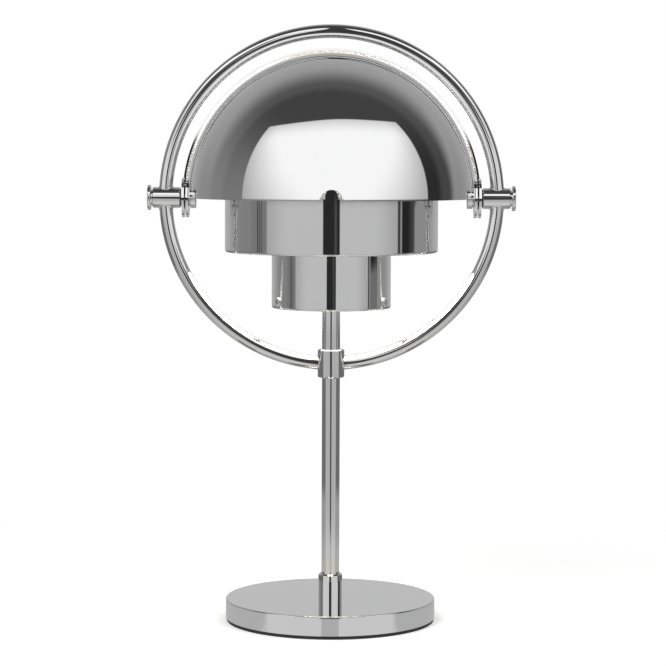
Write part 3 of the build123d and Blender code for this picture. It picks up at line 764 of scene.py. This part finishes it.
def paint_surroundings(shader, sky):
    """Grey wall behind, with a paler patch low down, and a dark gap at the sides and above."""
    left_tone, right_tone, above_tone, lowest_tone = 0.215, 0.03, 0.063, 0.18
    right_start = 10.0
    paler_at, paler_by = 0.15, 0.04
    gap_left = shader.ramp(sky.elevation, 0.0, OVERHEAD, left_tone, above_tone)
    gap_right = shader.ramp(sky.elevation, right_start, OVERHEAD, right_tone, above_tone)
    gap = shader.blend(sky.right, gap_left, gap_right)
    gap = shader.math("ADD", gap, shader.ramp(sky.y, 0.0, paler_at, 0.0, paler_by))
    gap = shader.math("MAXIMUM", gap, shader.ramp(sky.elevation, *LOWEST, lowest_tone, 0.0))

    side_tone, high_tone, back_tone, patch_tone = 0.30, 0.38, 0.47, 0.57
    high_up = 35.0
    back_run = (0.5, 0.95)
    patch_sides, patch_heights = (158.0, 170.0), (2.0, 14.0, 2.0)
    wall = shader.ramp(sky.elevation, 0.0, high_up, side_tone, high_tone)
    wall = shader.ramp(sky.y, *back_run, wall, back_tone)
    patch = shader.product(
        shader.ramp(sky.aside, *patch_sides), shader.band(sky.elevation, *patch_heights)
    )
    wall = shader.blend(patch, wall, patch_tone)
    start = wall_edge(shader, sky, level=0.25, high=0.16, low_left=0.30, low_right=0.14)
    full = wall_edge(shader, sky, level=0.40, high=0.60, low_left=0.65, low_right=0.19)
    return shader.blend(shader.ramp(sky.y, start, full), gap, wall)


def paint_dome_panel(shader, sky, level):
    """White panel for the shades: upright edges that fade at the sides and a bowed edge above."""
    left, right, middle, top = -72.9, 79.9, 6.0, 63.9
    bow, edge, white = -0.0026, 0.6, 1.145
    foot_edge = (-1.0, 0.3)
    side_tone, side_start, least_reach = 0.28, -25.0, 15.0
    top_tone, top_run = 0.55, (-6.0, 13.0)
    off_middle = shader.math("SUBTRACT", sky.azimuth, middle)
    squared = shader.math("MULTIPLY", off_middle, off_middle)
    under_top = shader.math("SUBTRACT", shader.math("MULTIPLY_ADD", squared, bow, top), sky.elevation)
    panel = shader.product(
        shader.band(sky.azimuth, left, right, edge),
        shader.ramp(under_top, -edge, edge),
        shader.ramp(sky.elevation, *foot_edge),
    )
    reach = shader.math("MAXIMUM", shader.math("SUBTRACT", OVERHEAD, sky.elevation), least_reach)
    from_left = shader.math("SUBTRACT", sky.azimuth, left)
    from_right = shader.math("SUBTRACT", right, sky.azimuth)
    fade = shader.product(
        shader.ramp(from_left, side_start, reach, side_tone, 1.0),
        shader.ramp(from_right, side_start, reach, side_tone, 1.0),
        shader.ramp(under_top, *top_run, top_tone, 1.0),
    )
    return shader.blend(panel, level, shader.math("MULTIPLY", fade, white))


# Azimuths, elevations and tone of each panel. A range is a start, an end and its edges' softness
SLIM_PANELS = {
    "pale": ((-75.0, 79.0, 2.0), (-1.2, 52.0, 0.3), 0.80),
    "white": ((-75.0, 79.0, 2.0), (31.0, 52.0, 1.5), 1.15),
    "left_bar": ((-40.0, -9.0, 1.0), (9.0, 31.0, 1.5), 0.06),
    "right_bar": ((-1.5, 40.0, 1.0), (9.0, 31.0, 1.5), 0.06),
    "foot": ((-12.0, 12.0, 0.7), (-90.0, 8.5, 0.5), 0.03),
    "column": ((-1.5, 5.5, 0.7), (0.0, 62.0, 1.0), 0.05),
}


def paint_slim_panels(shader, sky, level):
    """Panels for the slim pieces: white above pale, with dark bars, a dark foot and a dark column."""
    for azimuths, elevations, tone in SLIM_PANELS.values():
        level = shader.blend(sky.patch(azimuths, elevations), level, tone)
    return level


# Azimuth, half width and tone of each stand
STANDS = (
    (-85.1, 0.9, 0.07),
    (-82.1, 0.7, 0.08),
    (-79.4, 0.6, 0.09),
    (76.4, 1.2, 0.06),
    (79.4, 1.2, 0.30),
)


def paint_low_front(shader, sky, level):
    """Grey wall under the panels, thin stands beside it, and the dark place where the camera stands."""
    wall_sides, wall_run = (-72.6, 74.8, 1.0), (45.0, 78.0)
    wall_tone, wall_side_tone = 0.60, 0.44
    stand_edge = 0.3
    corner_sides, corner_tone = (81.5, 90.0, 0.6), 0.02
    slit_sides, slit_top, slit_tone = (-8.8, 8.8, 0.5), (0.6, 1.2), 0.025
    streak_sides, streak_tone = (3.5, 5.5, 1.5), 0.09
    wall = shader.ramp(sky.aside, *wall_run, wall_tone, wall_side_tone)
    in_front = shader.math("MULTIPLY", sky.low, shader.band(sky.azimuth, *wall_sides))
    level = shader.blend(in_front, level, wall)
    for azimuth, half_width, tone in STANDS:
        stand = shader.band(sky.azimuth, azimuth - half_width, azimuth + half_width, stand_edge)
        level = shader.blend(shader.math("MULTIPLY", stand, sky.low), level, tone)
    corner = shader.product(
        sky.low, shader.band(sky.azimuth, *corner_sides), shader.ramp(sky.elevation, *LOWEST)
    )
    level = shader.blend(corner, level, corner_tone)
    slit = shader.product(
        shader.band(sky.azimuth, *slit_sides), shader.ramp(sky.elevation, *slit_top, 1.0, 0.0)
    )
    streak = shader.math("MULTIPLY", shader.band(sky.azimuth, *streak_sides), sky.low)
    return shader.blend(slit, level, shader.blend(streak, slit_tone, streak_tone))


def tent_material(name, paint_panels, clear):
    """Light tent that the chrome shows, with its own panels in front."""
    material, shader, light = lit_material(name, clear)
    sky = Sky(shader)
    level = paint_surroundings(shader, sky)
    level = paint_panels(shader, sky, level)
    level = paint_low_front(shader, sky, level)
    shader.feed(light.inputs["Strength"], level)
    return material


def table_card_material():
    """Table in the metal's reflections: pale in front, grey at the sides, dark before the camera."""
    material, shader, light = lit_material("table_card")
    parts = shader.add("ShaderNodeSeparateXYZ", Vector=shader.place())
    forwards = shader.math("MULTIPLY", parts.outputs["Y"], -1.0)
    aside = shader.math("ABSOLUTE", parts.outputs["X"])
    away = length(shader, aside, forwards)

    # Straight edges that run outwards from the base's rim
    side_slope, side_start = 3.0, -0.09
    slit_slope, slit_start = 0.1638, -0.0042
    side_edge = shader.math("MULTIPLY_ADD", forwards, side_slope, side_start)
    slit_edge = shader.math("MULTIPLY_ADD", forwards, slit_slope, slit_start)
    past_side = shader.math("SUBTRACT", aside, side_edge)
    in_slit = shader.math("SUBTRACT", slit_edge, aside)

    # Tones near the base and further out
    front_run, front_tones = (0.12, 0.40), (0.69, 0.51)
    side_run, side_tones = (0.15, 0.30), (0.50, 0.375)
    dark_run, dark_tone = (0.37, 0.49), 0.175
    slit_run, slit_shares, slit_tone = (0.20, 0.32), (0.3, 0.92), 0.04
    side_blur, slit_blur = (-0.01, 0.02), (-0.001, 0.001)
    front = shader.ramp(away, *front_run, *front_tones)
    side = shader.ramp(away, *side_run, *side_tones)
    side = shader.blend(shader.ramp(away, *dark_run), side, dark_tone)
    level = shader.blend(shader.ramp(past_side, *side_blur), front, side)
    slit = shader.product(
        shader.ramp(in_slit, *slit_blur), shader.ramp(away, *slit_run, *slit_shares)
    )
    level = shader.blend(slit, level, slit_tone)

    # The ring of table round the base that the ferrule and the stem's foot show
    foot_ring, foot_sides, foot_slit = (0.100, 0.133, 0.002), (0.076, 0.096), (-0.004, -0.002)
    foot_front_tone, foot_side_tone, foot_slit_tone = 0.72, 0.16, 0.03
    foot_level = shader.blend(shader.ramp(past_side, *foot_sides), foot_front_tone, foot_side_tone)
    foot_level = shader.blend(shader.ramp(in_slit, *foot_slit), foot_level, foot_slit_tone)
    level = shader.blend(shader.band(away, *foot_ring), level, foot_level)

    # Far out the card carries on the tents' wall
    wall_run = (1.7, 2.1)
    sky = Sky(shader, head_height)
    wall = paint_low_front(shader, sky, paint_surroundings(shader, sky))
    level = shader.blend(shader.ramp(away, *wall_run), level, wall)
    shader.feed(light.inputs["Strength"], level)
    # Painted pool of the lamp's own warm light on the table, in a ring round the base
    lamp_pool_ring = (0.12, 0.19, 0.03)
    lamp_pool = shader.band(away, *lamp_pool_ring)
    shader.feed(light.inputs["Color"], shader.tint(lamp_pool, WHITE, LAMP_POOL_TINT))
    return material


def light_only(thing, name, pieces, state):
    """Let a tent light only these pieces (INCLUDE), or all but these (EXCLUDE)."""
    group = bpy.data.collections.new(name)
    for piece in pieces:
        group.objects.link(piece)
    for entry in group.collection_objects:
        entry.light_linking.link_state = state
    thing.light_linking.receiver_collection = group


def build_stage(shade_pieces):
    """Floor, the table card, and the tents of the shades and of the slim pieces."""
    floor = stage_piece("floor", disc(floor_radius), floor_material())
    floor.location.z = -stage_step
    card = stage_piece("table_card", disc(card_radius), table_card_material())
    card.location.z = stage_step
    slim_finish = tent_material("slim_tent", paint_slim_panels, False)
    slim_tent = stage_piece("slim_tent", ball(tent_radius), slim_finish)
    shade_finish = tent_material("shade_tent", paint_dome_panel, True)
    shade_tent = stage_piece("shade_tent", ball(shade_tent_radius), shade_finish)
    for thing in (card, slim_tent, shade_tent):
        only_reflected(thing)
    for tent, state in ((slim_tent, "EXCLUDE"), (shade_tent, "INCLUDE")):
        tent.location.z = head_height
        light_only(tent, f"{tent.name}_pieces", shade_pieces, state)


def build_world():
    """White surroundings, which light the matt surfaces at a plain level."""
    world = bpy.data.worlds.new("studio")
    scene.world = world
    world.use_nodes = True
    shader = Shader(world.node_tree)
    strength = shader.blend(seen_directly(shader), world_light, 1.0)
    back = shader.add("ShaderNodeBackground", Strength=strength, Color=(*WHITE, 1.0))
    output = shader.add("ShaderNodeOutputWorld")
    shader.tree.links.new(back.outputs[0], output.inputs["Surface"])


def area_light(name, place, size, power, target, colour):
    """A soft lamp aimed at a point."""
    data = bpy.data.lights.new(name, "AREA")
    data.shape = "SQUARE"
    data.size = size
    data.energy = power
    data.color = colour
    lamp = bpy.data.objects.new(name, data)
    scene.collection.objects.link(lamp)
    lamp.location = place
    aim = Vector(target) - lamp.location
    lamp.rotation_euler = aim.to_track_quat("-Z", "Y").to_euler()
    lamp.visible_glossy = False
    lamp.visible_camera = False


def glow_lights():
    """The lamp's own light: in the gap between the two cylinders, and out of it up into the shades."""
    upwards = Vector((0, 0, 1))
    wide_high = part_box("wide_shade")[1]
    radius = (wide_high.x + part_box("narrow_shade")[1].x) / 2
    rise = wide_high.z - head_height
    for number in range(glow_count):
        angle = 2 * math.pi * number / glow_count
        outwards = Vector((math.cos(angle), math.sin(angle), 0))
        place = head + outwards * radius
        above = place + upwards * rise
        area_light(f"glow_{number}", place, glow_size, glow_power, place + outwards, glow_colour)
        aim = above + outwards + upwards
        area_light(f"upper_glow_{number}", above, glow_size, upper_glow_power, aim, glow_colour)


def build_lights():
    """Two large soft lamps, above at the front left and at the right, and the lamp's own glow."""
    area_light("key_light", key_place, lamp_size, key_power, head / 2, WHITE)
    area_light("fill_light", fill_place, lamp_size, fill_power, head / 2, WHITE)
    glow_lights()


def build_camera():
    """Camera in front, a little above the pivots and pitched down."""
    data = bpy.data.cameras.new("camera")
    data.sensor_width = camera_sensor
    data.lens = camera_lens
    camera = bpy.data.objects.new("camera", data)
    scene.collection.objects.link(camera)
    camera.location = (camera_sideways, -camera_distance, camera_height)
    camera.rotation_euler = (math.radians(90 - camera_pitch), math.radians(camera_roll), 0)
    scene.camera = camera


scene.view_settings.view_transform = "Standard"
slots = slot_materials()
shades = shade_materials()
dress_nodes(slots, shades)
build_ring(slots["polished_chrome"])
turning_shades = build_turning_shades(shades)
build_stage(turning_shades + [nodes["wide_shade"], nodes["narrow_shade"]])
build_world()
build_lights()
build_camera()
